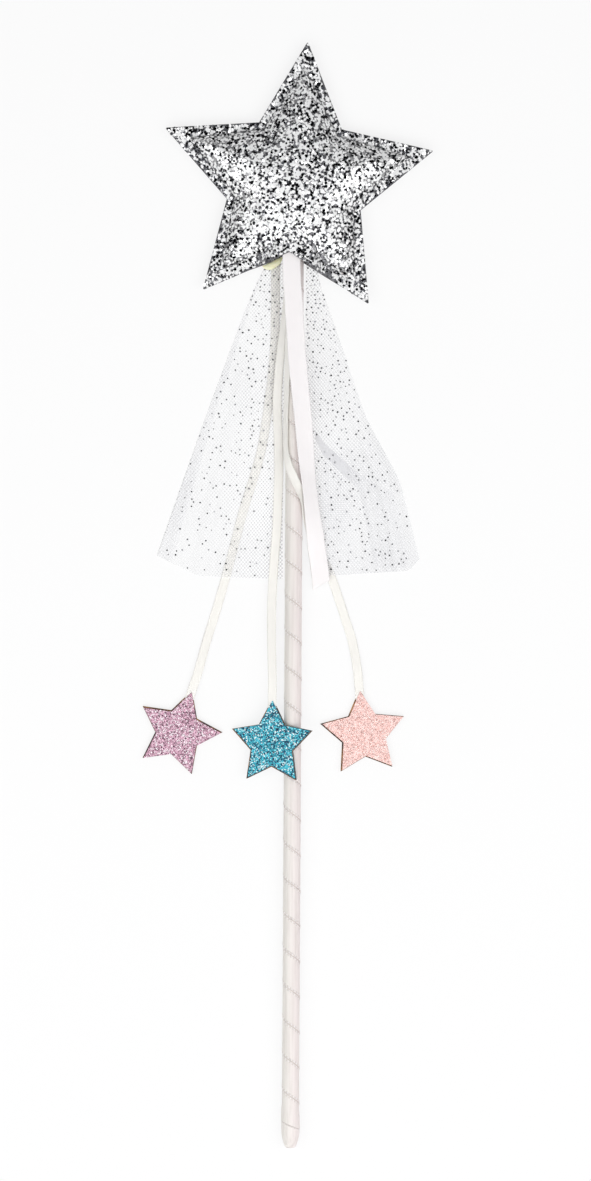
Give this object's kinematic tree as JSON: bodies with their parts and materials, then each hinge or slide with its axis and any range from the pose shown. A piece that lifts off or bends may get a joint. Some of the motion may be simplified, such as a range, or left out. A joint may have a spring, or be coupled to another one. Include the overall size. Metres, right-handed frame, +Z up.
{
  "type": "toy magic wand",
  "caption": "Toy wand: padded glitter star on a ribbon-wound stick, with a split tulle veil, a bare label ribbon and small glitter stars on narrow ribbons.",
  "frame": {"origin": "on the stick's axis, in the middle of the butt end's flat face", "axes": "+Y along the stick to the star, +Z up out of the star's face as the wand lies on a table, +X to the right"},
  "size_m": [0.117, 0.45, 0.0132],
  "materials": {
    "birch_wood": "plain birch dowel",
    "wrap_satin": "white satin ribbon with picot edges",
    "silver_glitter": "coarse silver glitter on a cloth cover",
    "foam": "soft wadding",
    "hot_glue": "set hot-melt glue",
    "ivory_satin": "narrow ivory satin ribbon",
    "label_satin": "white satin ribbon, bare",
    "tulle": "white glitter tulle",
    "pink_glitter": "lavender-pink glitter sheet",
    "turquoise_glitter": "turquoise glitter sheet",
    "peach_glitter": "pale peach-pink glitter sheet",
    "brown_core": "brown board with burnt cut edges"
  },
  "bodies": {
    "wand": {"dowel": "birch_wood", "wrap_ribbon": "wrap_satin", "butt_fold": "wrap_satin", "star_front_cover": "silver_glitter", "star_back_cover": "silver_glitter", "star_front_foam": "foam", "star_back_foam": "foam", "neck_glue": "hot_glue", "left_ribbon_top": "ivory_satin", "centre_ribbon_top": "ivory_satin", "right_ribbon_top": "ivory_satin", "label_ribbon_top": "label_satin"},
    "left_ribbon": {"left_ribbon": "ivory_satin"},
    "left_star": {"left_star_front": "pink_glitter", "left_star_core": "brown_core", "left_star_back": "pink_glitter", "left_star_tail": "ivory_satin"},
    "centre_ribbon": {"centre_ribbon": "ivory_satin"},
    "centre_star": {"centre_star_front": "turquoise_glitter", "centre_star_core": "brown_core", "centre_star_back": "turquoise_glitter", "centre_star_tail": "ivory_satin"},
    "right_ribbon": {"right_ribbon": "ivory_satin"},
    "right_star": {"right_star_front": "peach_glitter", "right_star_core": "brown_core", "right_star_back": "peach_glitter", "right_star_tail": "ivory_satin"},
    "label_tail": {"label_ribbon_tail": "label_satin"},
    "veil_left": {"veil_left": "tulle"},
    "veil_right": {"veil_right": "tulle"}
  },
  "joints": [
    {"name": "left_ribbon_swing", "type": "hinge", "parent": "wand", "child": "left_ribbon", "pos_m": [-0.00975, 0.352, -0.004], "axis": [0, 0, -1], "range_deg": [0, 30]},
    {"name": "centre_ribbon_lift", "type": "hinge", "parent": "wand", "child": "centre_ribbon", "pos_m": [-0.0062, 0.276, -0.00195], "axis": [-1, 0, 0], "range_deg": [0, 90]},
    {"name": "right_ribbon_swing", "type": "hinge", "parent": "wand", "child": "right_ribbon", "pos_m": [0.01173, 0.24285, -0.004], "axis": [0, 0, 1], "range_deg": [0, 40]},
    {"name": "label_lift", "type": "hinge", "parent": "wand", "child": "label_tail", "pos_m": [-0.0006, 0.345, 0.00475], "axis": [-0.9973, -0.0735, 0], "range_deg": [0, 90]},
    {"name": "veil_left_sway", "type": "hinge", "parent": "wand", "child": "veil_left", "pos_m": [-0.0075, 0.361, 0], "axis": [0, 0, -1], "range_deg": [0, 20]},
    {"name": "veil_right_sway", "type": "hinge", "parent": "wand", "child": "veil_right", "pos_m": [0.0075, 0.361, 0], "axis": [0, 0, 1], "range_deg": [0, 20]},
    {"name": "left_star_flip", "type": "hinge", "parent": "left_ribbon", "child": "left_star", "pos_m": [-0.04045, 0.18793, -0.00275], "axis": [-0.9516, 0.3074, 0], "range_deg": [0, 90]},
    {"name": "centre_star_flip", "type": "hinge", "parent": "centre_ribbon", "child": "centre_star", "pos_m": [-0.00839, 0.1847, 0.00273], "axis": [-0.9483, 0.0087, -0.3173], "range_deg": [0, 90]},
    {"name": "right_star_flip", "type": "hinge", "parent": "right_ribbon", "child": "right_star", "pos_m": [0.02688, 0.18861, -0.00275], "axis": [-0.9954, -0.0958, 0], "range_deg": [0, 90]}
  ]
}
